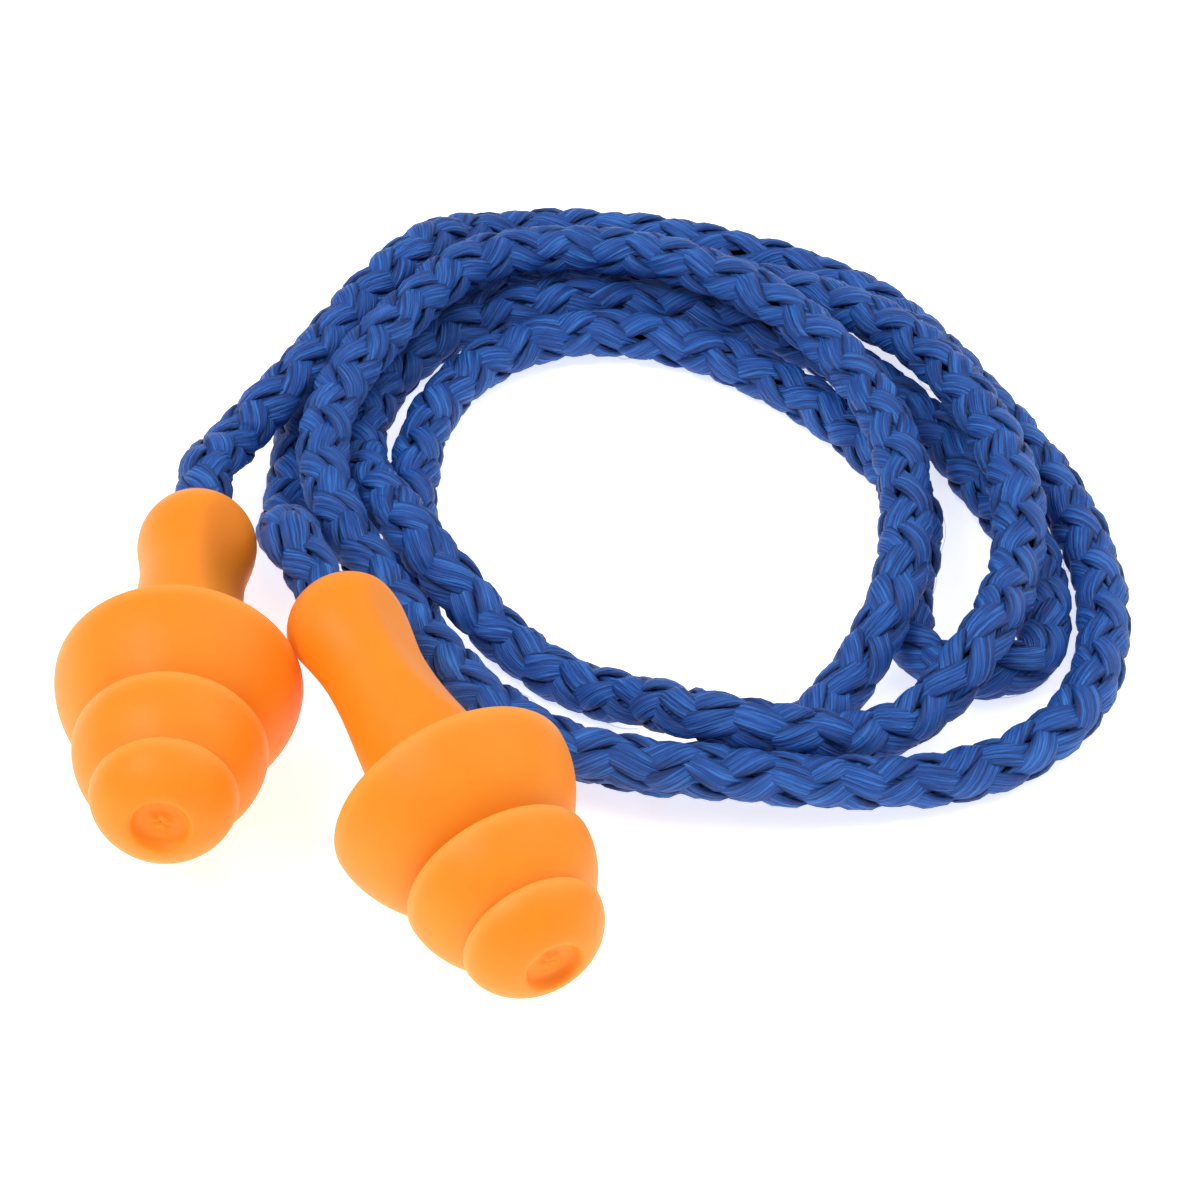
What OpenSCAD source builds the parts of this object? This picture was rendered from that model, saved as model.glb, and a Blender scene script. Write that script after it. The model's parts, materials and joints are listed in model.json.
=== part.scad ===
// Pair of corded flanged ear plugs.
// Two soft moulded plugs lie on a flat surface, joined by one cord in a loose coil.
// Millimetres, +Z up, the surface is z = 0, the noses point roughly towards -Y.

/* [Plug] */
// Length of a plug from the nose to the rear of the stem
plug_length = 27.5; // [24:0.5:33]
// Length of the flanged head, nose to rear rim
head_length = 11.7; // [10.5:0.1:14]
// Distance from the rear rim to the top of the rear dome
rear_dome = 5.35; // [4.5:0.05:6]
// Distance from the rear rim to the middle rim
mid_at = 5.5; // [5:0.1:6.5]
// Distance from the rear rim to the top of the middle dome
mid_dome = 9.5; // [8.5:0.1:10]
// Distance from the rear rim to the front rim
front_at = 9.3; // [8.8:0.1:10]
// Diameter of the rear flange
rear_flange_d = 13; // [11:0.1:15.6]
// Diameter of the middle flange
mid_flange_d = 10.1; // [9:0.1:11]
// Diameter of the front flange
front_flange_d = 7.6; // [6.8:0.1:8.4]
// Diameter of the flat nose
nose_d = 3.6; // [3:0.1:4]
// Diameter of the round rear end of the stem
stem_end_d = 6.5; // [5.4:0.1:7.8]
// Diameter of the waist of the stem
waist_d = 5.7; // [5.2:0.1:6.4]
// Distance from the rear rim to the waist
waist_back = 9; // [8:0.1:10]
// Diameter of the stem where it meets the head
stem_root_d = 6.6; // [6:0.1:7]
// Diameter of the core under the front flange
front_root_d = 5.2; // [4.8:0.1:5.6]
// Thickness of a flange at its rim
rim_wall = 0.45; // [0.35:0.05:0.6]
// Depth of the hollow under the rear flange
rear_hollow = 3.3; // [2.5:0.1:4]
// Depth of the hollow under the middle flange
mid_hollow = 2; // [1.5:0.1:2.4]
// Depth of the hollow under the front flange
front_hollow = 1; // [0.7:0.1:1.2]

/* [Nose and stem details] */
// Width of the dished recess in the nose
recess_d = 2.3; // [1.6:0.1:2.6]
// Depth of the recess
recess_depth = 0.7; // [0.4:0.1:1]
// Width of the moulding nub in the recess
nub_d = 0.9; // [0.6:0.1:1.2]
// Height of the moulding nub
nub_height = 0.3; // [0.2:0.05:0.4]
// Radius of the two finger scoops in the stem
scoop_radius = 14; // [10:1:18]
// Depth of the finger scoops at the waist
scoop_depth = 0.7; // [0.3:0.1:0.8]
// Distance from the rear rim to the middle of the finger scoops
scoop_back = 10; // [8:0.5:11]
// Turn of the scoops about the plug axis
scoop_turn = 40; // [0:5:90]

/* [Cord] */
// Diameter of the cord
cord_d = 3; // [2.5:0.1:3.6]
// How far the cord goes into the stem
bore_depth = 8; // [6:0.1:9.6]
// Glue gap around the cord in the bore
glue_gap = 0.05; // [0.03:0.01:0.1]
// Distance from the stem to the point where the cord bends
bend_offset = 3; // [2.5:0.25:4]
// Gap between the two lengths of cord at the bending point
bend_gap = 0.1; // [0.05:0.05:0.3]

/* [Lay of the plugs] */
// Nose-up tilt of the left plug
left_tilt = 4; // [0:1:6]
// Nose-down tilt of the right plug
right_tilt = 8; // [4:1:10]
// Turn of the right plug outwards
right_turn = 27; // [24:1:32]
// How far the right plug lies in front of the left
stagger = 8.8; // [8:0.1:10]
// Gap between the left rear rim and the right stem
pair_gap = 0.1; // [0.05:0.05:0.5]

/* [Hidden] */
$fn = 64;

orange = [1, 0.6, 0.2];
blue = [0.13, 0.33, 0.67];

// Stations along the plug axis, from the rear rim (0) towards the nose (+)
end_r = stem_end_d / 2;
stem_end_at = head_length - plug_length;
bulb_at = stem_end_at + end_r;
waist_at = -waist_back;
bore_end_at = stem_end_at + bore_depth;
pivot_at = stem_end_at - bend_offset;

// Radii where each dome runs into the next one
rear_root_r = stem_root_d / 2;
mid_root_r = front_root_d / 2;
core_step = 0.3;

// Powers that round each dome: a higher one makes it slimmer towards its top
rear_power = 1.69;
mid_power = 1.44;
front_power = 1.38;
rise_power = 1.1;

// Points along a dome and round a lip
dome_steps = 9;
arc_steps = 6;

// Length left uncut between the finger scoops and the head, and the tool's reach past the stem
scoop_land = 0.6;
scoop_spare = 0.3;

// Lead-in round the mouth of the bore
flare = 0.4;

// A flange swells from its root to its rim along a softened quarter wave
function dome(s0, r0, s1, r1, q) =
  [for (i = [0:dome_steps]) let (t = 90 * i / dome_steps)
    [r1 + (r0 - r1) * pow(cos(t), q), s0 + (s1 - s0) * pow(sin(t), rise_power)]];

function reversed(p) = [for (i = [len(p) - 1:-1:0]) p[i]];

// Round rear lip of a flange, from the inside round to the outside
function lip(s0, r0) =
  let (r = rim_wall / 2)
  [for (i = [1:arc_steps - 1]) let (a = 180 - 180 * i / arc_steps)
    [r0 - r + r * cos(a), s0 - r * sin(a)]];

// One hollow flange: under the skirt, round the lip, over the dome
function flange(s0, r0, s1, r1, q, deep, core) =
  concat(reversed(dome(s0, r0 - rim_wall, s0 + deep, core, q)), lip(s0, r0),
    dome(s0, r0, s1, r1, q));

// Round rear end of the stem, waist, and the swell into the head
function wave(s0, r0, s1, r1) =
  [for (i = [1:dome_steps]) let (k = i / dome_steps)
    [r0 + (r1 - r0) * (1 - cos(180 * k)) / 2, s0 + (s1 - s0) * k]];

stem_outline = concat(
  [for (i = [0:dome_steps]) let (t = 90 * i / dome_steps)
    [end_r * sin(t), bulb_at - end_r * cos(t)]],
  wave(bulb_at, end_r, waist_at, waist_d / 2),
  wave(waist_at, waist_d / 2, 0, rear_root_r));

head_outline = concat(
  flange(0, rear_flange_d / 2, rear_dome, rear_root_r, rear_power,
    rear_hollow, rear_root_r - core_step),
  flange(mid_at, mid_flange_d / 2, mid_dome, mid_root_r, mid_power,
    mid_hollow, rear_root_r - 2 * core_step),
  flange(front_at, front_flange_d / 2, head_length, nose_d / 2, front_power,
    front_hollow, mid_root_r - core_step));

nose_outline = [
  [recess_d / 2, head_length - recess_depth],
  [nub_d / 2, head_length - recess_depth],
  [nub_d / 3, head_length - recess_depth + nub_height],
  [0, head_length - recess_depth + nub_height]];

plug_outline = concat(stem_outline, head_outline, nose_outline);

// Height of the plug axis at the rear rim when the lowest flange touches the surface
function rest_height(tilt) =
  max([for (p = plug_outline) p[0] * cos(tilt) - p[1] * sin(tilt)]);

// Where the cord bends behind the left stem, seen from above. The plugs are placed from here,
// so their heads move forwards if they are longer, and the cord still meets their stems.
// These two values centre the box of the plugs on the origin.
left_bend = [-7.89, 21.04];

// Where the two plugs lie, as [x, y, z] of the rear rim centre
// The left rim passes the right stem between the stem's round end and its waist
contact_r = (end_r + waist_d / 2) / 2;
stem_clear = (contact_r + pair_gap) / cos(right_turn);
left_pos = [
  left_bend[0],
  left_bend[1] + pivot_at * cos(left_tilt),
  rest_height(left_tilt)];
right_pos = [
  left_pos[0] + rear_flange_d / 2 + stem_clear + stagger * tan(right_turn),
  left_pos[1] - stagger,
  rest_height(-right_tilt)];

// Direction of a plug axis towards its nose
function axis(turn, tilt) =
  [sin(turn) * cos(tilt), -cos(turn) * cos(tilt), sin(tilt)];

left_axis = axis(0, left_tilt);
right_axis = axis(right_turn, -right_tilt);

// Two shallow finger scoops on opposite sides, which run out into the round end of the stem
module scoops() {
  intersection() {
    translate([0, 0, stem_end_at - scoop_spare])
      cylinder(r = max(end_r, rear_root_r) + scoop_spare, h = scoop_spare - stem_end_at - scoop_land);
    for (side = [-1, 1])
      translate([side * (waist_d / 2 + scoop_radius - scoop_depth), 0, -scoop_back])
        rotate([90, 0, 0])
          cylinder(r = scoop_radius, h = 2 * stem_end_d, center = true);
  }
}

module bore() {
  bore_r = cord_d / 2 + glue_gap;
  translate([0, 0, stem_end_at - flare])
    cylinder(r = bore_r, h = bore_depth + flare);
  translate([0, 0, stem_end_at - flare])
    cylinder(r1 = bore_r + 2 * flare, r2 = bore_r, h = 2 * flare);
}

module plug() {
  difference() {
    rotate_extrude() polygon(plug_outline);
    rotate([0, 0, scoop_turn]) scoops();
    bore();
  }
}

// Straight end of the cord: glued in the stem, with a round end at the bending point
module cord_end() {
  translate([0, 0, pivot_at])
    cylinder(d = cord_d, h = bore_end_at - pivot_at);
  translate([0, 0, pivot_at])
    sphere(d = cord_d);
}

module place_left() {
  translate(left_pos) rotate([90 - left_tilt, 0, 0]) children();
}

module place_right() {
  translate(right_pos) rotate([90 + right_tilt, 0, right_turn]) children();
}

// The free cord starts and ends just behind the round ends of the glued lengths
free_at = pivot_at - cord_d / 2 - bend_gap;
cord_start = left_pos + free_at * left_axis;
cord_stop = right_pos + free_at * right_axis;

// Lay of the cord from plug to plug: [x, y, level], where level 1 lies on the
// surface and level 3 lies on top of another length of cord
lay = [
  [-7, 25.5, 2.8], [-5.5, 28.5, 2.8], [-3.5, 31.5, 3], [-0.5, 38, 3], [3, 44, 3],
  [5, 47, 2.4], [8, 49.5, 1.4], [13.5, 50.5, 1], [20.5, 49, 1], [27, 46, 1],
  [32, 41.5, 1], [36, 34.5, 1], [39.5, 27, 1], [41.5, 20, 1], [41.8, 12.5, 1],
  [39.1, 5, 1], [33, 0.8, 1], [25, -1.2, 2], [18.5, -1.3, 2.6], [11.5, 0.5, 2.8],
  [6.5, 5.5, 3], [3, 11.5, 3], [0, 17.5, 3.4], [-1.5, 24.5, 3.4], [0, 32, 3.4],
  [3.5, 38.5, 3.4], [7, 43, 3.2], [12.5, 45, 2.8], [18, 43.5, 3], [24, 39.5, 3],
  [28.5, 33, 3], [31, 25, 3], [31, 17, 3], [30, 12, 2.7], [26, 5.5, 1.2],
  [19, 1.3, 1], [12.5, 2.9, 1], [7, 7.2, 1], [4, 13, 1], [3.5, 20, 1],
  [3.5, 27, 1], [5, 33.5, 1], [9, 38.5, 1], [15.5, 40, 1], [23, 36.5, 1],
  [29, 30, 1], [32, 22.5, 1], [31, 14, 1], [32.2, 10.1, 1], [35, 9, 1],
  [37.6, 10.1, 1], [38.6, 13.5, 1], [38.4, 19, 1], [36, 25.5, 1], [32, 33, 1],
  [25.5, 39.5, 1], [18, 43, 1], [10.5, 43, 1], [4.5, 39.5, 1], [1, 33.5, 1],
  [0.5, 27, 1.4], [2, 21, 2.8], [5, 15.5, 2.9], [8.5, 12, 1.3], [13, 8, 1],
  [17, 4.8, 2], [20, 2, 3], [23.5, 1.5, 2.8], [27, 2.5, 1.8], [31, 4.5, 1.6],
  [34.5, 8, 3], [36.5, 13, 2.8], [37.5, 20, 2.9], [36, 28, 3], [32.5, 36, 2.6],
  [27, 42, 1.8], [19, 46, 1.2], [11, 47, 1], [4.5, 44, 1], [-0.5, 38.5, 1],
  [-3, 31.5, 1], [-3.5, 24, 1], [-3.5, 19.5, 1.8], [-2.5, 14, 5]];

cord_route = concat([cord_start],
  [for (p = lay) [p[0], p[1], p[2] * cord_d / 2]],
  [cord_stop]);

cord_sides = 8;

function unit(v) = v / norm(v);

// Direction of the route at a point; the two ends follow the plug axes
function heading(p, i) =
  i == 0 ? -left_axis :
  i == len(p) - 1 ? right_axis :
  unit(unit(p[i + 1] - p[i]) + unit(p[i] - p[i - 1]));

function cord_ring(p, i) =
  let (t = heading(p, i), side = unit(cross([0, 0, 1], t)), up = cross(t, side))
  [for (k = [0:cord_sides - 1]) let (a = 360 * k / cord_sides)
    p[i] + cord_d / 2 * (cos(a) * side + sin(a) * up)];

module cord_tube(p) {
  n = cord_sides;
  last = (len(p) - 1) * n;
  points = [for (i = [0:len(p) - 1]) for (q = cord_ring(p, i)) q];
  walls = [for (i = [0:len(p) - 2]) for (k = [0:n - 1])
    let (a = i * n + k, b = i * n + (k + 1) % n)
    for (f = [[a, a + n, b + n], [a, b + n, b]]) f];
  near_end = [[for (k = [0:n - 1]) k]];
  far_end = [[for (k = [n - 1:-1:0]) last + k]];
  polyhedron(points = points, faces = concat(near_end, walls, far_end));
}

module plug_left() { color(orange) place_left() plug(); }
module plug_right() { color(orange) place_right() plug(); }
module cord_end_left() { color(blue) place_left() cord_end(); }
module cord_end_right() { color(blue) place_right() cord_end(); }
module cord() { color(blue) cord_tube(cord_route); }

plug_left();
plug_right();
cord_end_left();
cord_end_right();
cord();
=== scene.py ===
# %% [markdown]
# # Corded flanged ear plugs
# Two soft orange plugs lie on a white table, joined by one blue braided cord in a loose coil.
# The rigid frame gives every place: where the stems end, which way each plug points, and where
# the cord bends when a plug is lifted. This script puts the real surfaces on that frame.

# %% Load the frame
import json
import math

import bpy
import numpy as np
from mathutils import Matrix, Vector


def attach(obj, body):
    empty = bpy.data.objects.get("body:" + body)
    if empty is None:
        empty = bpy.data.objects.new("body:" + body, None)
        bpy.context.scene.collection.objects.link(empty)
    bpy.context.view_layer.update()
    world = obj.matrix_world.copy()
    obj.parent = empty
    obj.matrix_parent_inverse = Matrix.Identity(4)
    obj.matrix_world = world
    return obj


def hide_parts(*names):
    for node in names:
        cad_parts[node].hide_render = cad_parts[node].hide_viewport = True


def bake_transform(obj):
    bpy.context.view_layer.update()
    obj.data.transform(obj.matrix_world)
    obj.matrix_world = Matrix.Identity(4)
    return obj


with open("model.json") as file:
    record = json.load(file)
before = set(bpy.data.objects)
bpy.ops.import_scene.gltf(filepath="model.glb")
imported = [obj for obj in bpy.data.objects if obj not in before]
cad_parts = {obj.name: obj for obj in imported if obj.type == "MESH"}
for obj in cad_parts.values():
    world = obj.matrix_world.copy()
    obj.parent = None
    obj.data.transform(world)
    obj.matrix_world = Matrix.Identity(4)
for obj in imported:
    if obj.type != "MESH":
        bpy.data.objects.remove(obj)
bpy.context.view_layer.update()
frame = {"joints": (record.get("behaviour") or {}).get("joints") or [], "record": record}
MM = 0.001
rng = np.random.default_rng(11)

# %% [markdown]
# ## Helpers for surfaces
# A spun plug, a yarn and a stray fibre could each be made with a modifier of its own, such as
# Screw or Curve. All of them are tubes, though, so one grid of points serves: along a line or an
# outline one way, and round it the other way. The grid closes on itself across its columns, and
# each end of the tube is shut with one flat face. It also keeps full control of every point.

# %% Make a mesh piece from closed tubes
def tube_faces(tubes, rings, sides):
    """Faces of several closed tubes: quads between ring i and i + 1, then one cap at each end."""
    i, j = np.meshgrid(np.arange(rings - 1), np.arange(sides), indexing="ij")
    nxt = (j + 1) % sides
    quad = np.stack([i * sides + j, i * sides + nxt, (i + 1) * sides + nxt, (i + 1) * sides + j], -1)
    start = np.arange(tubes)[:, None, None] * rings * sides
    quads = (quad.reshape(1, -1, 4) + start).reshape(-1, 4)
    ring = np.arange(sides)
    first = start[:, 0] + ring[::-1]
    last = start[:, 0] + (rings - 1) * sides + ring
    return quads, np.concatenate([first, last])


def tube_piece(name, points, uv=None):
    """A smooth mesh from points of shape (tubes, rings, sides, 3), with uv of the same grid plus
    one column, so that a pattern doesn't run backwards where the tube closes."""
    tubes, rings, sides, _ = points.shape
    quads, caps = tube_faces(tubes, rings, sides)
    mesh = bpy.data.meshes.new(name)
    mesh.from_pydata(points.reshape(-1, 3), [], quads.tolist() + caps.tolist())
    mesh.polygons.foreach_set("use_smooth", np.ones(len(mesh.polygons), bool))
    if uv is not None:
        corner = np.stack([uv[:, :-1, :-1], uv[:, :-1, 1:], uv[:, 1:, 1:], uv[:, 1:, :-1]], 3)
        flat = np.zeros((len(mesh.loops), 2))
        flat[: quads.size] = corner.reshape(-1, 2)
        mesh.uv_layers.new(name="UVMap").data.foreach_set("uv", flat.ravel())
    piece = bpy.data.objects.new(name, mesh)
    bpy.context.scene.collection.objects.link(piece)
    return piece


LOWEST_PACE, HIGHEST_PACE = 0.8, 1.25


def swing(count, s, lengths):
    """count smooth random waves along s, from -1 to 1. Each is the mean of one sine per wavelength,
    with a random phase and a pace that is up to a quarter off."""
    s = np.asarray(s)
    total = np.zeros((count,) + s.shape)
    for length in lengths:
        phase = rng.uniform(0, 2 * np.pi, (count,) + (1,) * s.ndim)
        pace = rng.uniform(LOWEST_PACE, HIGHEST_PACE, phase.shape)
        total += np.sin(2 * np.pi * s * pace / length + phase)
    return total / len(lengths)


# %% [markdown]
# ## Camera
# The camera looks down at 40 degrees from the noses' side, so the plugs are nearest and the coil
# fills the right. A wide lens close by would swell the noses, so it is a long lens further off,
# which keeps the far side of the coil nearly as large as the near side.

# %% Camera
LOOK_AT = np.array([14.15, 17.0, 0]) * MM
CAMERA_DISTANCE = 0.240
CAMERA_ELEVATION = math.radians(40)
LENS_MM = 128.76
NEAREST_SEEN = 10 * MM
away = np.array([0, -math.cos(CAMERA_ELEVATION), math.sin(CAMERA_ELEVATION)])
lens = bpy.data.cameras.new("camera")
lens.lens = LENS_MM
lens.clip_start = NEAREST_SEEN
camera = bpy.data.objects.new("camera", lens)
camera.location = LOOK_AT + CAMERA_DISTANCE * away
camera.rotation_euler = (math.pi / 2 - CAMERA_ELEVATION, 0, 0)
bpy.context.scene.collection.objects.link(camera)
bpy.context.scene.camera = camera
print("camera", np.round(camera.location, 4))

# %% [markdown]
# ## Where each plug lies
# The places could be typed in, but then a change in the frame would leave the looks behind. The
# frame's joints hold the point where the cord bends behind each stem, and its mounts hold the
# direction that each nose points in. From those two come the stem's end and the rear rim's centre.

# %% Plug places
BEND_OFFSET = 3 * MM
STEM_LENGTH = 15.8 * MM
joints = {j["name"]: j for j in frame["joints"]}
mounts = {m["name"]: m for m in frame["record"]["mounts"]}


def plug_place(side):
    """The plug's direction, the cord's bending point, the stem's mouth and the rear rim's centre."""
    axis = np.array(mounts["ear_end_" + side]["axis"], float)
    axis /= np.linalg.norm(axis)
    bend = np.array(joints[side + "_lift"]["pos_m"], float)
    mouth = bend + BEND_OFFSET * axis
    return {"axis": axis, "bend": bend, "mouth": mouth, "rim": mouth + STEM_LENGTH * axis}


plugs = {side: plug_place(side) for side in ("left", "right")}
for side, p in plugs.items():
    print(side, "rear rim at", np.round(p["rim"] / MM, 2))

# %% [markdown]
# ## The cord's line
# The cord is one length, glued into both stems. It leaves the left stem, makes a little over three
# turns on the table, and climbs into the right stem. Its line is a smooth spline through listed
# points: x and y in millimetres, and a level. Level 1 lies on the table, and level 3 lies
# on top of another length of the same cord.

# %% Cord line
CORD_D = 3 * MM
FREE_AT = CORD_D / 2 + 0.1 * MM
LAY = [
    [-7, 25.5, 2.8], [-5.5, 28.5, 2.8], [-3.5, 31.5, 3], [-0.5, 38, 3], [3, 44, 3],
    [5, 47, 2.4], [8, 49.5, 1.4], [13.5, 50.5, 1], [20.5, 49, 1], [27, 46, 1],
    [32, 41.5, 1], [36, 34.5, 1], [39.5, 27, 1], [41.5, 20, 1], [41.8, 12.5, 1],
    [39.1, 5, 1], [33, 0.8, 1], [25, -1.2, 2], [18.5, -1.3, 2.6], [11.5, 0.5, 2.8],
    [6.5, 5.5, 3], [3, 11.5, 3], [0, 17.5, 3.4], [-1.5, 24.5, 3.4], [0, 32, 3.4],
    [3.5, 38.5, 3.4], [7, 43, 3.2], [12.5, 45, 2.8], [18, 43.5, 3], [24, 39.5, 3],
    [28.5, 33, 3], [31, 25, 3], [31, 17, 3], [30, 12, 2.7], [26, 5.5, 1.2],
    [19, 1.3, 1], [12.5, 2.9, 1], [7, 7.2, 1], [4, 13, 1], [3.5, 20, 1],
    [3.5, 27, 1], [5, 33.5, 1], [9, 38.5, 1], [15.5, 40, 1], [23, 36.5, 1],
    [29, 30, 1], [32, 22.5, 1], [31, 14, 1], [32.2, 10.1, 1], [35, 9, 1],
    [37.6, 10.1, 1], [38.6, 13.5, 1], [38.4, 19, 1], [36, 25.5, 1], [32, 33, 1],
    [25.5, 39.5, 1], [18, 43, 1], [10.5, 43, 1], [4.5, 39.5, 1], [1, 33.5, 1],
    [0.5, 27, 1.4], [2, 21, 2.8], [5, 15.5, 2.9], [8.5, 12, 1.3], [13, 8, 1],
    [17, 4.8, 2], [20, 2, 3], [23.5, 1.5, 2.8], [27, 2.5, 1.8], [31, 4.5, 1.6],
    [34.5, 8, 3], [36.5, 13, 2.8], [37.5, 20, 2.9], [36, 28, 3], [32.5, 36, 2.6],
    [27, 42, 1.8], [19, 46, 1.2], [11, 47, 1], [4.5, 44, 1], [-0.5, 38.5, 1],
    [-3, 31.5, 1], [-3.5, 24, 1], [-3.5, 19.5, 1.8], [-2.5, 14, 5],
]


def smooth_line(points, per_span=24):
    """Natural cubic spline through the points. The spans' lengths are the square roots of the
    distances, which keeps short spans from kinking. The second slopes solve one linear system."""
    p = np.asarray(points, float)
    gap = np.sqrt(np.linalg.norm(np.diff(p, axis=0), axis=1))
    slope = np.diff(p, axis=0) / gap[:, None]
    count = len(p)
    i = np.arange(1, count - 1)
    system = np.eye(count)
    system[i, i - 1] = gap[:-1]
    system[i, i] = 2 * (gap[:-1] + gap[1:])
    system[i, i + 1] = gap[1:]
    bend = np.zeros_like(p)
    bend[1:-1] = 6 * np.diff(slope, axis=0)
    bend = np.linalg.solve(system, bend)
    knots = np.concatenate([[0], np.cumsum(gap)])
    u = np.linspace(0, knots[-1], (count - 1) * per_span + 1)
    k = np.clip(np.searchsorted(knots, u, side="right") - 1, 0, count - 2)
    x, h = (u - knots[k])[:, None], gap[k][:, None]
    first = slope[k] - h * (2 * bend[k] + bend[k + 1]) / 6
    return p[k] + x * first + x**2 * bend[k] / 2 + x**3 * (bend[k + 1] - bend[k]) / (6 * h)


def stem_points(place, backs):
    """Points on a plug's axis, at the given distances behind the place where the cord bends."""
    return place["bend"] - np.asarray(backs)[:, None] * place["axis"]


lay = np.array(LAY) * [MM, MM, CORD_D / 2]
IN_BORE = 4 * MM
held = np.array([-7, -3, 0]) * MM
free = np.array([FREE_AT])
cord_line = smooth_line(
    np.concatenate([
        stem_points(plugs["left"], held), stem_points(plugs["left"], free), lay,
        stem_points(plugs["right"], free), stem_points(plugs["right"], held[::-1]),
    ])
)
cord_arc = np.concatenate([[0], np.cumsum(np.linalg.norm(np.diff(cord_line, axis=0), axis=1))])


def along(s):
    """Point on the cord's line at arc length s, for an array of any shape."""
    return np.stack([np.interp(s, cord_arc, cord_line[:, k]) for k in range(3)], -1)


HEADING_REACH = 0.6 * MM


def side_and_up(s):
    """Two directions across the line: level sideways, and the one square to that and the line."""
    ahead = along(s + HEADING_REACH) - along(s - HEADING_REACH)
    ahead /= np.linalg.norm(ahead, axis=-1, keepdims=True)
    side = np.cross([0.0, 0.0, 1.0], ahead)
    side /= np.linalg.norm(side, axis=-1, keepdims=True)
    return side, np.cross(ahead, side)


# %% [markdown]
# ## The braid
# The cord is a hollow braid of eight flat yarns: four wind to the right and four to the left, and
# each passes over one and under the next. A plain tube with a bump map would lose the scalloped
# outline, so each yarn is a flat band of its own. Its angle grows steadily along the cord, and its
# distance from the middle rises and falls as a wave, so that it is outermost where it crosses over.

# %% Braid yarns
LEAD = 16 * MM
CROSSINGS = 8
YARN_MID = 1.10 * MM
YARN_WAVE = 0.17 * MM
YARN_HALF_WIDTH = 0.75 * MM
YARN_HALF_THICK = 0.21 * MM
YARN_SIDES = 10
YARN_SQUARENESS = 0.8
OVER_SHARPNESS = 1.4
WIDER_WHEN_OVER = 0.08
FULLER_WHEN_OVER = 0.10
LANE = 4.0
YARNS = 8
yarn_hand = np.repeat([1, -1], YARNS // 2)[:, None]
yarn_start = np.tile(np.arange(YARNS // 2) * np.pi / 2, 2)[:, None]

# Slow waves that make each yarn a little wider, further out or further round from place to place,
# and that roll and flatten the whole cord
wave_table = np.arange(0, cord_arc[-1] + LEAD, 0.25 * MM)
yarn_width = 1 + 0.18 * swing(YARNS, wave_table, [6 * MM, 9 * MM, 17 * MM])
yarn_lift = 0.09 * MM * swing(YARNS, wave_table, [4 * MM, 7 * MM, 13 * MM])
yarn_drift = 0.20 * swing(YARNS, wave_table, [7 * MM, 11 * MM, 23 * MM])
cord_roll = 0.9 * swing(1, wave_table, [70 * MM, 130 * MM])[0]
cord_flat = 0.06 + 0.04 * swing(1, wave_table, [24 * MM, 60 * MM])[0]


def waves_at(table, s):
    """Each row of the table, read at arc length s."""
    return np.stack([np.interp(s, wave_table, row) for row in np.atleast_2d(table)])


def braid(name, s):
    """Eight flat bands round the line. Angle = hand * 2 pi * s / lead + start. Distance from the
    middle = mid + wave * cos(8 pi * s / lead), flattened at its top and bottom. A band's section is
    a full oval laid on the cylinder, square to the band's own slanting direction."""
    turn = 2 * np.pi * s / LEAD
    over = yarn_hand * np.cos(CROSSINGS / 2 * turn)
    rise = np.tanh(OVER_SHARPNESS * over) / np.tanh(OVER_SHARPNESS)
    middle = YARN_MID + YARN_WAVE * rise + waves_at(yarn_lift, s)
    angle = yarn_hand * turn + yarn_start + waves_at(yarn_drift, s) + waves_at(cord_roll, s)
    width = YARN_HALF_WIDTH * waves_at(yarn_width, s) * (1 + WIDER_WHEN_OVER * rise)
    thick = YARN_HALF_THICK * (1 + FULLER_WHEN_OVER * rise)
    theta = -np.linspace(0, 2 * np.pi, YARN_SIDES, endpoint=False)
    across = np.sign(np.cos(theta)) * np.abs(np.cos(theta)) ** YARN_SQUARENESS
    outward = np.sign(np.sin(theta)) * np.abs(np.sin(theta)) ** YARN_SQUARENESS
    a = width[:, :, None] * across
    r = middle[:, :, None] + thick[:, :, None] * outward
    slant = math.atan(2 * np.pi * YARN_MID / LEAD)
    phi = angle[:, :, None] + a * math.cos(slant) / middle[:, :, None]
    at = s[None, :, None] - yarn_hand[:, :, None] * a * math.sin(slant)
    side, up = side_and_up(at)
    flat = waves_at(cord_flat, at)[0]
    x = (r * np.cos(phi) * (1 + flat))[..., None] * side
    z = (r * np.sin(phi) * (1 - flat))[..., None] * up
    points = along(at) + x + z
    length_mm = np.broadcast_to(s[None, :, None] / math.cos(slant) / MM, a.shape)
    lane = across + LANE * np.arange(YARNS)[:, None, None]
    uv = np.stack([length_mm, np.broadcast_to(lane, a.shape)], -1)
    uv = np.concatenate([uv, uv[:, :, :1]], 2)
    return tube_piece(name, points, uv)


# %% [markdown]
# ## The cord in three pieces
# On the real object the cord is one length. Here the ends near the stems have to bend when a plug
# is lifted, and the rest stays where it lies, so the cord is cut in three: a long braid, and a
# short lead at each stem. The pieces read the same waves at the same places, so the cuts don't
# show.

# %% Long braid and two leads
STEP = 0.5 * MM
LEAD_OUT = 9 * MM
start_free = IN_BORE + LEAD_OUT
stop_free = cord_arc[-1] - start_free
rings = int(round((stop_free - start_free) / STEP))
main_s = np.linspace(start_free, stop_free, rings + 1)
cord_braid = braid("cord_braid", main_s)
hidden_end = 0.5 * IN_BORE
lead_rings = int(round((LEAD_OUT + hidden_end) / STEP))
left_s = np.linspace(hidden_end, start_free, lead_rings + 1)
right_s = np.linspace(stop_free, cord_arc[-1] - hidden_end, lead_rings + 1)
cord_lead_left = braid("cord_lead_left", left_s)
cord_lead_right = braid("cord_lead_right", right_s)
print("braid faces", len(cord_braid.data.polygons))

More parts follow.
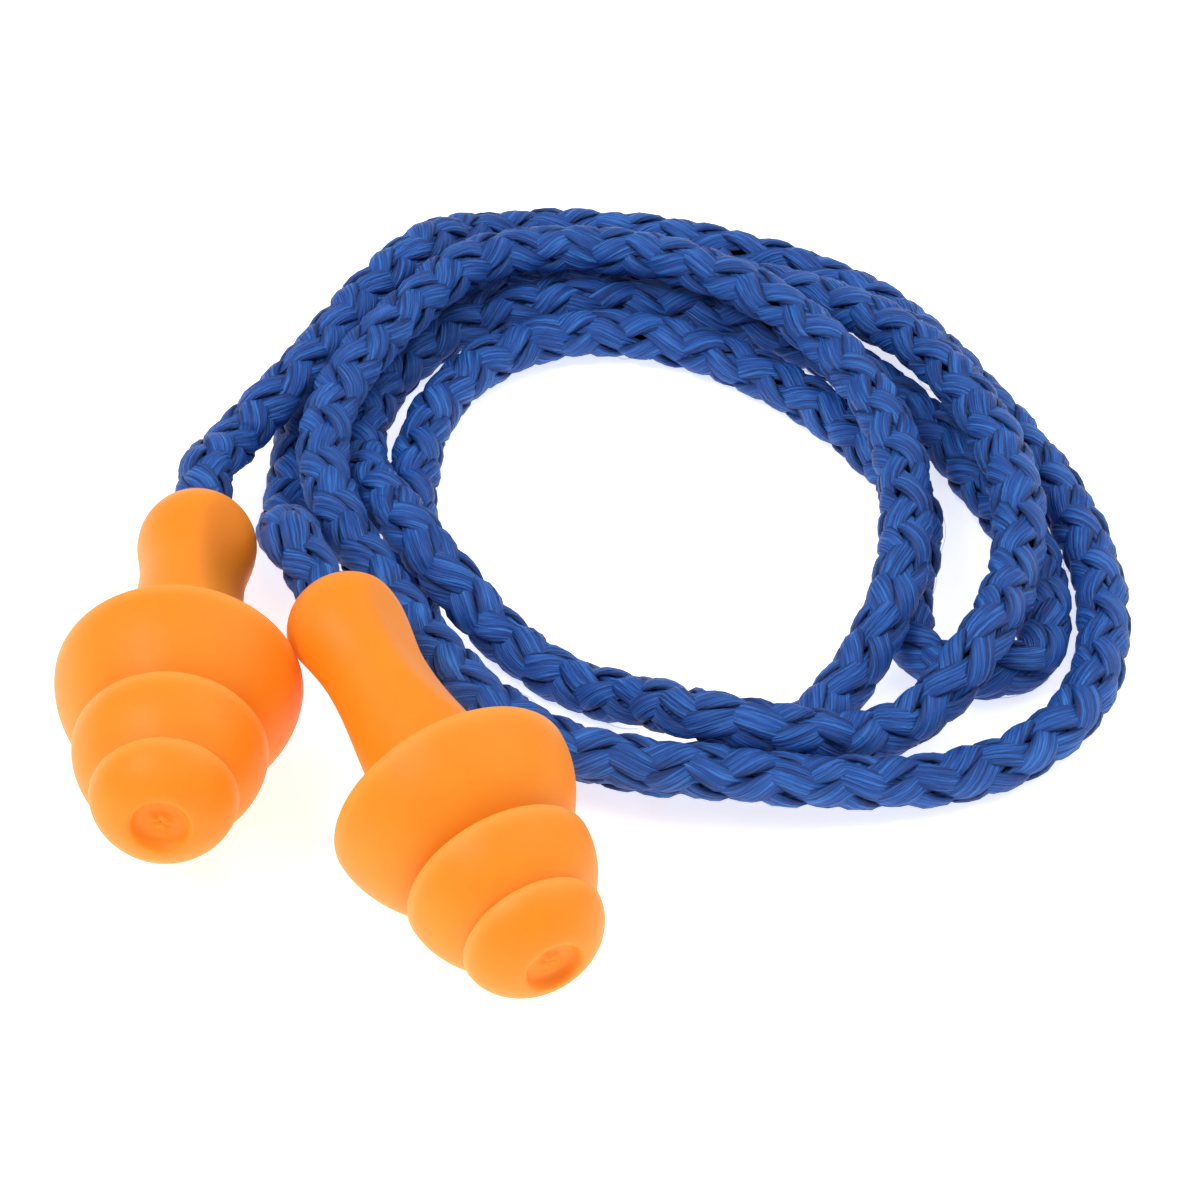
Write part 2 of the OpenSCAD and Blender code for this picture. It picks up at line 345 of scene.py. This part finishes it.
# %% [markdown]
# ## Stray fibres
# A braid of soft yarn has a little fuzz: single fibres that stand off in shallow loops. Hair
# particles could make thousands of them, but hair isn't part of a mesh, so each fibre is a
# three-sided thread along an arc that leaves the cord and comes back.

# %% Stray fibres
LOOPS = 150
FIBRE_R = 0.012 * MM
loop_s = rng.uniform(start_free, stop_free, LOOPS)[:, None]
loop_phi = rng.uniform(0, 2 * np.pi, LOOPS)[:, None]
loop_length = rng.uniform(1.2, 3.6, LOOPS)[:, None] * MM
loop_height = rng.uniform(0.08, 0.42, LOOPS)[:, None] * MM
FIBRE_ROOT = 1.38 * MM
FIBRE_FLOOR = 0.02 * MM
LOOP_FULLNESS = 0.8
k = np.linspace(0, 1, 13)
loop_at = loop_s + loop_length * (k - 0.5)
loop_hand = rng.choice([-1, 1], LOOPS)[:, None]
loop_turn = loop_phi + loop_hand * 2 * np.pi * loop_length * (k - 0.5) / LEAD
loop_out = FIBRE_ROOT + loop_height * np.sin(np.pi * k) ** LOOP_FULLNESS
side, up = side_and_up(loop_at)
sideways = (loop_out * np.cos(loop_turn))[..., None] * side
upwards = (loop_out * np.sin(loop_turn))[..., None] * up
threads = along(loop_at) + sideways + upwards
threads[..., 2] = np.maximum(threads[..., 2], FIBRE_FLOOR)
corner = np.linspace(0, 2 * np.pi, 3, endpoint=False)
fibre_points = (
    threads[:, :, None]
    + FIBRE_R * np.cos(corner)[:, None] * side[:, :, None]
    + FIBRE_R * np.sin(corner)[:, None] * up[:, :, None]
)
fibre_uv = np.zeros(fibre_points.shape[:2] + (4, 2))
cord_fibres = tube_piece("cord_fibres", fibre_points, fibre_uv)
print("fibres", LOOPS)

# %% [markdown]
# ## The plugs
# Each plug is one soft moulding, and it is round about its axis. It could be lofted or sculpted,
# but one outline that is spun holds every rim and hollow exactly. From the rear: a round stem end
# with a bore for the cord, a waist, then three flanges that overlap like umbrellas, each hollow
# underneath, and a flat nose with a dished mark where the rubber went into the mould. The outline
# is in millimetres, as a distance from the axis and a distance along it from the rear rim.

# %% Plug outline
REAR_R, MID_R, FRONT_R, NOSE_R = 6.5, 5.05, 3.8, 1.8
REAR_DOME, MID_AT, MID_DOME, FRONT_AT, HEAD = 5.35, 5.5, 9.5, 9.3, 11.7
RIM_WALL = 0.45
RISE_POWER = 1.1
STEM_END, END_R, WAIST_AT, WAIST_R, ROOT_R = -15.8, 3.25, -9.0, 2.85, 3.3
BORE_R, BORE_BOTTOM, MOUTH_FLARE = 1.55, -8.0, 0.35

# Each flange: rim's place and radius, top's place and radius, roundness, hollow's depth and core
FLANGES = [
    (0, REAR_R, REAR_DOME, ROOT_R, 1.69, 3.3, ROOT_R - 0.3),
    (MID_AT, MID_R, MID_DOME, 2.6, 1.44, 2.0, ROOT_R - 0.6),
    (FRONT_AT, FRONT_R, HEAD, NOSE_R, 1.38, 1.0, 2.3),
]


def quarter(s0, r0, s1, r1, power, steps=30):
    """Flange outline: r falls as a softened cosine while s rises as a softened sine."""
    t = np.linspace(0, np.pi / 2, steps)
    return np.stack([r1 + (r0 - r1) * np.cos(t) ** power, s0 + (s1 - s0) * np.sin(t) ** RISE_POWER], -1)


def lip(s0, r0, steps=12):
    """Half a circle round the rear edge of a flange, from its inside to its outside."""
    a = np.linspace(np.pi, 0, steps)[1:-1]
    r = RIM_WALL / 2
    return np.stack([r0 - r + r * np.cos(a), s0 - r * np.sin(a)], -1)


def flange(s0, r0, s1, r1, power, deep, core):
    """The hollow underneath from the core out to the rim, the lip, and the outside up to the top."""
    under = quarter(s0, r0 - RIM_WALL, s0 + deep, core, power, 16)[::-1]
    return [under, lip(s0, r0), quarter(s0, r0, s1, r1, power)]


def swell(s0, r0, s1, r1, steps=22):
    """Half a cosine wave from one radius to the other."""
    k = np.linspace(0, 1, steps)[1:]
    return np.stack([r0 + (r1 - r0) * (1 - np.cos(np.pi * k)) / 2, s0 + (s1 - s0) * k], -1)


bulb = STEM_END + END_R
mouth_angle = math.asin((BORE_R + MOUTH_FLARE) / END_R)
t = np.linspace(mouth_angle, np.pi / 2, 22)
stem_end = np.stack([END_R * np.sin(t), bulb - END_R * np.cos(t)], -1)
mouth_edge = stem_end[0]
bore = np.array([
    [0, BORE_BOTTOM], [BORE_R, BORE_BOTTOM],
    [BORE_R, mouth_edge[1] + MOUTH_FLARE], [BORE_R + 0.1, mouth_edge[1] + 0.1],
])
nose = np.array([
    [1.72, HEAD + 0.02], [1.60, HEAD], [1.50, HEAD - 0.09], [1.42, HEAD - 0.24],
    [1.32, HEAD - 0.40], [1.16, HEAD - 0.50], [0.92, HEAD - 0.53], [0.70, HEAD - 0.52],
    [0.52, HEAD - 0.46], [0.40, HEAD - 0.37], [0.28, HEAD - 0.34], [0.14, HEAD - 0.40], [0, HEAD - 0.43],
])
outline = np.concatenate(
    [bore, stem_end, swell(bulb, END_R, WAIST_AT, WAIST_R), swell(WAIST_AT, WAIST_R, 0, ROOT_R)]
    + [part for shape in FLANGES for part in flange(*shape)]
    + [nose]
)
print("plug outline points", len(outline))

# %% [markdown]
# ## Spinning the plugs
# Fingers grip the stem, so it is pressed in on two sides. A Boolean with a big cylinder would cut
# that, but with a sharp edge. Here each ring of the spun outline is limited to the cylinder's
# wall instead, and the edge is rounded over by a soft least. Small waves in the radius and a rough
# patch in the nose keep the moulding from looking turned on a lathe.

# %% Spin the outline into a plug
ROUND = 144
SCOOP_RADIUS, SCOOP_DEPTH, SCOOP_AT, SCOOP_END = 14.0, 0.55, -9.0, -0.6
SCOOP_TURN, SCOOP_EDGE, NARROWEST = 40, 0.50, 0.2
SKIN_FROM = BORE_R + 0.2
GATE_R, GATE_WIDTH, GATE_FROM = 0.42, 0.22, HEAD - 0.75
RIM_FADE = 0.55
OVAL, LOBED, FLANGE_TILT = 0.025, 0.015, 0.02
GATE_LOBES, GATE_RIPPLE = 0.06, 0.05


def soft_least(a, b, width):
    """The smaller of a and b, with the edge between them rounded over the given width."""
    h = np.clip(0.5 + 0.5 * (b - a) / width, 0, 1)
    return b + (a - b) * h - width * h * (1 - h)


def plug_moulding(name, place, seed):
    """Outline spun about the axis. The stem is pressed in from two sides by a large circle, and
    the whole surface wanders by a few hundredths of a millimetre, as a soft moulding does."""
    phi = np.linspace(0, 2 * np.pi, ROUND, endpoint=False)
    r, s = outline[:, :1], outline[:, 1:]
    turned = phi - math.radians(SCOOP_TURN)
    wall = WAIST_R + SCOOP_RADIUS - SCOOP_DEPTH - np.sqrt(
        np.maximum(SCOOP_RADIUS**2 - (s - SCOOP_AT) ** 2, 1)
    )
    limit = wall / np.maximum(np.abs(np.cos(turned)), NARROWEST)
    on_stem = (s < SCOOP_END) & (r > SKIN_FROM)
    pressed = soft_least(np.broadcast_to(r, limit.shape), limit, SCOOP_EDGE)
    radius = np.where(on_stem, pressed, r)
    wobble = OVAL * np.sin(2 * phi + seed) + LOBED * np.sin(3 * phi + 2.1 * seed + 0.4 * s)
    gate = np.exp(-(((r - GATE_R) / GATE_WIDTH) ** 2)) * (s > GATE_FROM)
    rough = (GATE_LOBES * np.sin(3 * phi + seed) + GATE_RIPPLE * np.sin(5 * phi + 2 * seed)) * gate
    radius = radius + np.where(r > SKIN_FROM, wobble * np.minimum(r / 3, 1), 0)
    height = s + rough + FLANGE_TILT * np.sin(phi + 1.7 * seed) * (s > 0)
    up = np.array([0.0, 0.0, 1.0])
    axis = place["axis"]
    out = np.cross(up, axis)
    out /= np.linalg.norm(out)
    over = np.cross(axis, out)
    ring = np.cos(phi)[:, None] * out + np.sin(phi)[:, None] * over
    points = place["rim"] + MM * (height[..., None] * axis + radius[..., None] * ring)
    piece = tube_piece(name, points[None])
    # Closeness to each rim, where the wall is thin: the rubber's colour is painted paler there as light
    # shining through.
    thin = np.zeros(radius.shape)
    for at, rim, *_ in FLANGES:
        gap = np.hypot(outline[:, 1] - at, outline[:, 0] - rim)
        thin = np.maximum(thin, np.exp(-((gap / RIM_FADE) ** 2))[:, None])
    piece.data.attributes.new("thin", "FLOAT", "POINT").data.foreach_set("value", thin.ravel())
    return piece


plug_left = plug_moulding("plug_left_moulding", plugs["left"], 0.6)
plug_right = plug_moulding("plug_right_moulding", plugs["right"], 2.3)
print("plug faces", len(plug_left.data.polygons))

# %% [markdown]
# ## Shader helpers
# A material is a graph of nodes. It could be wired node by node, but the sums would be lost among
# the links. These two helpers let it be written as sums: a wrapped socket can be added, multiplied
# or subtracted, and every other node comes from one call.

# %% Shader helpers
class Value:
    """A socket that carries a number, with Python's operators adding Math nodes."""

    def __init__(self, paint, socket):
        self.paint, self.socket = paint, socket

    def math(self, kind, *others):
        values = {i: v for i, v in enumerate((self, *others))}
        return self.paint.node("ShaderNodeMath", {"operation": kind}, values)

    def __add__(self, other):
        return self.math("ADD", other)

    def __mul__(self, other):
        return self.math("MULTIPLY", other)

    def __sub__(self, other):
        return self.math("SUBTRACT", other)

    def __rsub__(self, other):
        return self.paint.node("ShaderNodeMath", {"operation": "SUBTRACT"}, {0: other, 1: self})

    __radd__, __rmul__ = __add__, __mul__


class Paint:
    """A new material and the calls that fill its node graph."""

    def __init__(self, name):
        self.material = bpy.data.materials.new(name)
        self.material.use_nodes = True
        self.tree = self.material.node_tree
        self.shader = self.tree.nodes["Principled BSDF"]

    def node(self, kind, settings=None, inputs=None, output=0):
        """A new node with its settings made first, then its sockets filled or linked."""
        new = self.tree.nodes.new(kind)
        for key, value in (settings or {}).items():
            if key == "stops":
                ramp = new.color_ramp.elements
                while len(ramp) < len(value):
                    ramp.new(0.5)
                for stop, (at, colour) in zip(ramp, value):
                    stop.position, stop.color = at, (*colour, 1)
            else:
                setattr(new, key, value)
        self.fill(new, inputs or {})
        return Value(self, new.outputs[output])

    def fill(self, node, inputs):
        for key, value in inputs.items():
            if isinstance(value, Value):
                self.tree.links.new(value.socket, node.inputs[key])
            else:
                node.inputs[key].default_value = value

    def mix(self, factor, a, b):
        """Colour a where factor is 0, and b where it is 1."""
        a, b = (c if isinstance(c, Value) else (*c, 1) for c in (a, b))
        return self.node("ShaderNodeMix", {"data_type": "RGBA"}, {0: factor, 6: a, 7: b}, 2)

    def noise(self, where, scale, detail, rough=0.5):
        values = {"Vector": where, "Scale": scale, "Detail": detail, "Roughness": rough}
        return self.node("ShaderNodeTexNoise", None, values)

    def set(self, **inputs):
        """Fill the shader's own sockets, named with _ for each space."""
        self.fill(self.shader, {key.replace("_", " "): value for key, value in inputs.items()})


# %% [markdown]
# ## Orange elastomer
# The rubber is satin, and it glows a little, because light goes some way in and comes out again.
# A paler flat colour would only look washed out, so subsurface scattering does that. The rims are
# painted paler where the wall is thin, as painted light shining through it, and handling leaves
# faint marks in the sheen and a speck of lint or a nick here and there.

# %% Orange elastomer
rubber = Paint("orange_elastomer")
place = rubber.node("ShaderNodeTexCoord", output=3)
thin = rubber.node("ShaderNodeAttribute", {"attribute_name": "thin"}, output=2)
mottle = rubber.noise(place, scale=260.0, detail=4.0)
marks = rubber.noise(place, scale=1300.0, detail=5.0, rough=0.6)
grain = rubber.noise(place, scale=6000.0, detail=2.0)
DEEP_ORANGE, ORANGE, RIM_GLOW_ORANGE = (0.98, 0.255, 0.007), (1.0, 0.30, 0.014), (1.0, 0.42, 0.09)
LINT_GREY, NICK_ORANGE = (0.20, 0.10, 0.10), (1.0, 0.52, 0.20)
body_colour = rubber.mix(mottle, DEEP_ORANGE, ORANGE)
# Painted light: the rims are paler where light shines through the thin wall.
rim_glow_colour = rubber.mix(thin * 0.5, body_colour, RIM_GLOW_ORANGE)


def specks(scale, radius, share, seed):
    """1 inside small round spots of the given radius in cell widths, in a share of the cells."""
    cell = rubber.tree.nodes.new("ShaderNodeTexVoronoi")
    shifted = rubber.node("ShaderNodeVectorMath", {"operation": "ADD"}, {0: place, 1: (seed, 0, 0)})
    rubber.fill(cell, {"Vector": shifted, "Scale": scale})
    near = Value(rubber, cell.outputs[0]).math("LESS_THAN", radius)
    pick = rubber.node("ShaderNodeSeparateColor", None, {0: Value(rubber, cell.outputs[1])})
    return near * pick.math("LESS_THAN", share)


lint = specks(scale=420.0, radius=0.055, share=0.16, seed=0.3)
nicks = specks(scale=300.0, radius=0.045, share=0.18, seed=0.7)
spotted = rubber.mix(lint * 0.6, rim_glow_colour, LINT_GREY)
spotted = rubber.mix(nicks * 0.5, spotted, NICK_ORANGE)
rubber.set(Base_Color=spotted, Roughness=0.42 + 0.12 * marks)
height = marks * 0.5 + grain * 0.25 - nicks
bump = rubber.node("ShaderNodeBump", None, {"Strength": 0.10, "Distance": 0.06 * MM, "Height": height})
rubber.set(Normal=bump, IOR=1.42, Specular_IOR_Level=0.35)
rubber.set(Subsurface_Weight=0.45, Subsurface_Radius=(1.0, 0.35, 0.12), Subsurface_Scale=0.7 * MM)
print("rubber nodes", len(rubber.tree.nodes))

# %% [markdown]
# ## Blue braided yarn
# Each yarn is hundreds of fine filaments, so it is streaked along its length, and its colour is
# darkened towards its edges as painted shade in the gaps between yarns. Modelling the filaments
# would take millions of faces, so noise that is drawn out along the yarn stands for them, in colour
# and in bump; in colour the streaks run from painted shade to a painted sheen. It reads the yarn's
# own map: millimetres along it, and -1 to 1 across it with each yarn in a lane of its own. A slight
# slant follows its twist.

# %% Blue yarn
yarn = Paint("blue_braided_yarn")
uv = yarn.node("ShaderNodeTexCoord", output=2)
split = yarn.tree.nodes.new("ShaderNodeSeparateXYZ")
yarn.fill(split, {0: uv})
along_yarn, across_yarn = (Value(yarn, split.outputs[i]) for i in range(2))
TWIST = 0.20


def streaks(along_scale, across_scale, detail):
    """Noise drawn out along the yarn: few cells a millimetre along it, and many across it."""
    slanted = across_yarn + along_yarn * TWIST
    moved = {0: along_yarn * along_scale, 1: slanted * across_scale}
    where = yarn.node("ShaderNodeCombineXYZ", None, moved)
    return yarn.noise(where, scale=1.0, detail=detail, rough=0.55)


filaments = streaks(along_scale=0.35, across_scale=7.5, detail=3.0)
bundles = streaks(along_scale=0.22, across_scale=2.6, detail=2.0)
patches = yarn.noise(yarn.node("ShaderNodeTexCoord", output=3), scale=190.0, detail=2.0)
# Painted shade and sheen: the streaks run from a shaded blue through the yarn's own blue to a painted
# sheen, along with the filaments' own changes of tone.
SHADE_BLUE, ROYAL_BLUE, SHEEN_BLUE = (0.003, 0.022, 0.130), (0.010, 0.082, 0.380), (0.050, 0.230, 0.700)
PATCH_BLUE, EDGE_SHADE_BLUE = (0.008, 0.065, 0.31), (0.004, 0.016, 0.085)
stops = [(0.36, SHADE_BLUE), (0.50, ROYAL_BLUE), (0.64, SHEEN_BLUE)]
streak = filaments * 0.6 + bundles * 0.4
fibre_tone_shade_and_sheen = yarn.node("ShaderNodeValToRGB", {"stops": stops}, {0: streak})
yarn_colour = yarn.mix(patches * 0.3, fibre_tone_shade_and_sheen, PATCH_BLUE)

# %% Painted shade at the yarns' edges, and the yarn's finish
# Painted shade: the yarn's colour darkens towards both edges of its lane, for the shade in the gaps
# between yarns.
EDGE_FROM, EDGE_STEEPNESS = 0.62, 2.6
half_lane = LANE / 2
off_middle = across_yarn.math("WRAP", half_lane, -half_lane).math("ABSOLUTE")
edge = (off_middle - EDGE_FROM) * EDGE_STEEPNESS
edge = edge.math("MAXIMUM", 0.0).math("MINIMUM", 1.0)
yarn_colour = yarn.mix(edge * 0.8, yarn_colour, EDGE_SHADE_BLUE)
yarn.set(Base_Color=yarn_colour, Roughness=0.42 + 0.25 * bundles)
height = filaments + bundles
bump = yarn.node("ShaderNodeBump", None, {"Strength": 1.0, "Distance": 0.18 * MM, "Height": height})
yarn.set(Normal=bump, Specular_IOR_Level=0.35)
print("yarn nodes", len(yarn.tree.nodes))

# %% Give each piece its material
for piece in (cord_braid, cord_lead_left, cord_lead_right, cord_fibres):
    piece.data.materials.append(yarn.material)
for piece in (plug_left, plug_right):
    piece.data.materials.append(rubber.material)
print("materials", [material.name for material in (yarn.material, rubber.material)])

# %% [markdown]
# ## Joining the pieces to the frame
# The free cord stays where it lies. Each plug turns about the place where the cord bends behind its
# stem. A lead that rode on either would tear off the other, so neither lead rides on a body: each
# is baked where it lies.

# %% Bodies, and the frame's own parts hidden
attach(cord_braid, "cord")
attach(cord_fibres, "cord")
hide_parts("cord")
sets = (("left", plug_left, cord_lead_left), ("right", plug_right, cord_lead_right))
for side, moulding, lead_piece in sets:
    body = "plug_" + side
    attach(moulding, body)
    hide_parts(body)
    place = plugs[side]
    lead_end = along(start_free if side == "left" else stop_free)
    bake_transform(lead_piece)
    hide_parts("cord_end_" + side)
print("joined", [piece.name for piece in (cord_braid, cord_fibres, *sets[0][1:], *sets[1][1:])])

# %% [markdown]
# ## Table and light
# A white table under large soft lights leaves almost no shadow. Light alone would need to be so
# strong that the orange burns out, so the table also glows a little by itself. The stronger light
# stands to the left and the weaker one to the right, both high up.

# %% Table and light
TABLE_HALF = 0.6
TABLE_GAP = 0.02 * MM
mesh = bpy.data.meshes.new("table")
corners = [(x * TABLE_HALF, y * TABLE_HALF, 0) for x, y in ((-1, -1), (1, -1), (1, 1), (-1, 1))]
mesh.from_pydata(corners, [], [(0, 1, 2, 3)])
table = bpy.data.objects.new("table", mesh)
bpy.context.scene.collection.objects.link(table)
table.location = (0, 0, -TABLE_GAP)
white = Paint("white_table")
white.set(Base_Color=(0.90, 0.90, 0.90, 1), Roughness=0.6, Specular_IOR_Level=0.2)
white.set(Emission_Color=(1, 1, 1, 1), Emission_Strength=0.70)
mesh.materials.append(white.material)

world = bpy.data.worlds.new("studio")
bpy.context.scene.world = world
world.use_nodes = True
background = world.node_tree.nodes["Background"]
background.inputs["Color"].default_value = (1, 1, 1, 1)
background.inputs["Strength"].default_value = 0.50


def soft_box(name, location, size, power):
    """A square soft light at location, turned to face the middle of the object."""
    light = bpy.data.lights.new(name, "AREA")
    light.size = size
    light.energy = power
    lamp = bpy.data.objects.new(name, light)
    lamp.location = location
    bpy.context.scene.collection.objects.link(lamp)
    toward = Vector(tuple(LOOK_AT)) - lamp.location
    lamp.rotation_euler = toward.to_track_quat("-Z", "Y").to_euler()
    print("light", name, "%.1f W" % power)


soft_box("key", (-0.28, -0.12, 0.50), size=0.30, power=1.8)
soft_box("fill", (0.32, 0.10, 0.42), size=0.5, power=1.2)
bpy.context.scene.view_settings.view_transform = "Standard"
